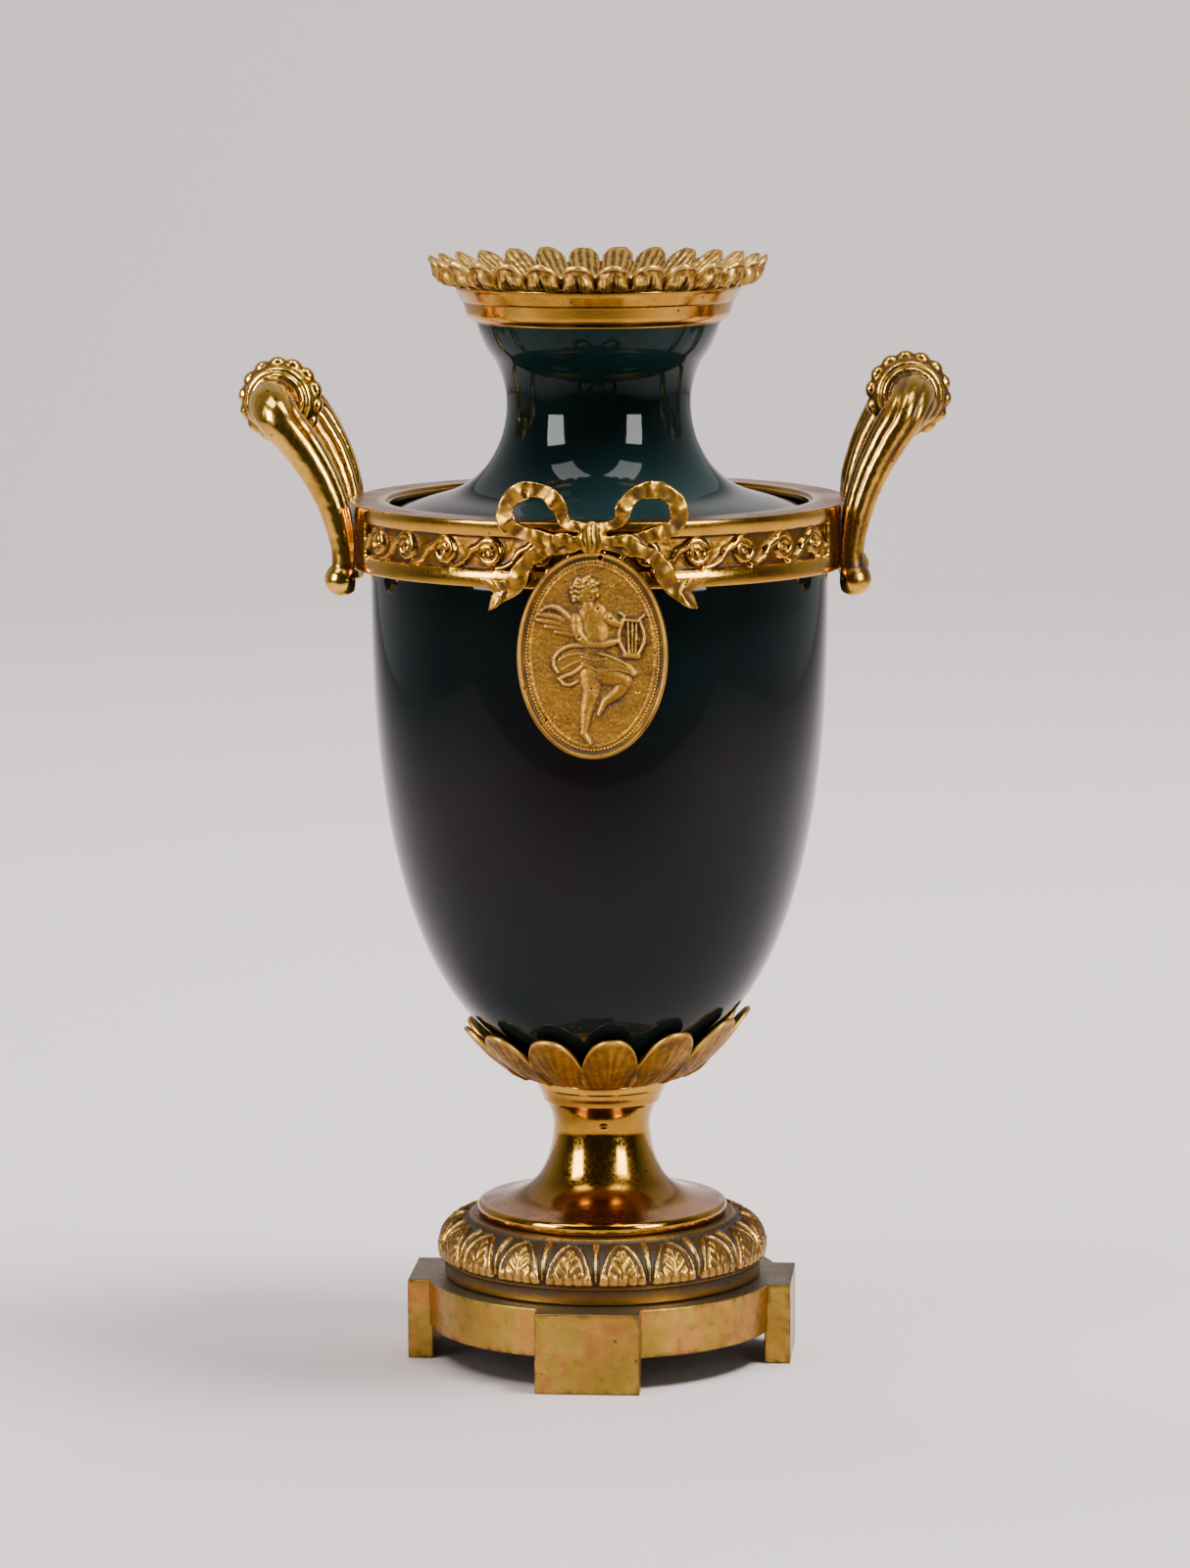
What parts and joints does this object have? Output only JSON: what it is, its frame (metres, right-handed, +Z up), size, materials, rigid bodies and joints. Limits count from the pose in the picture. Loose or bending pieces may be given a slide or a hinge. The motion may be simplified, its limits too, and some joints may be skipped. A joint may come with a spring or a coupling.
{
  "type": "glazed ceramic vase",
  "caption": "Urn-shaped glazed ceramic vase on a turned stem and block-footed base, with gilt-metal leaf mounts, upright loop handles and an oval relief medallion under a ribbon bow.",
  "frame": {"origin": "on the surface it stands on, under the axis of the turned stem and body", "axes": "+Z up along the axis of the stem and body; -Y is the front, with the medallion; +X towards the right-hand handle as seen from the front"},
  "size_m": [0.1787, 0.1287, 0.28],
  "materials": {
    "glaze": "high-gloss dark teal glaze",
    "burnished_gilt": "burnished gilding, lightly worn",
    "cast_gilt": "cast and chased gilding, brown in the recesses"
  },
  "bodies": {
    "root": {"vase_body": "glaze", "rim_collar": "burnished_gilt", "leaf_crown": "cast_gilt", "shoulder_band": "burnished_gilt", "handle_left": "cast_gilt", "handle_right": "cast_gilt", "medallion": "cast_gilt", "leaf_calyx": "cast_gilt", "stem": "burnished_gilt", "leaf_torus": "cast_gilt", "base_plate": "burnished_gilt"}
  },
  "joints": []
}
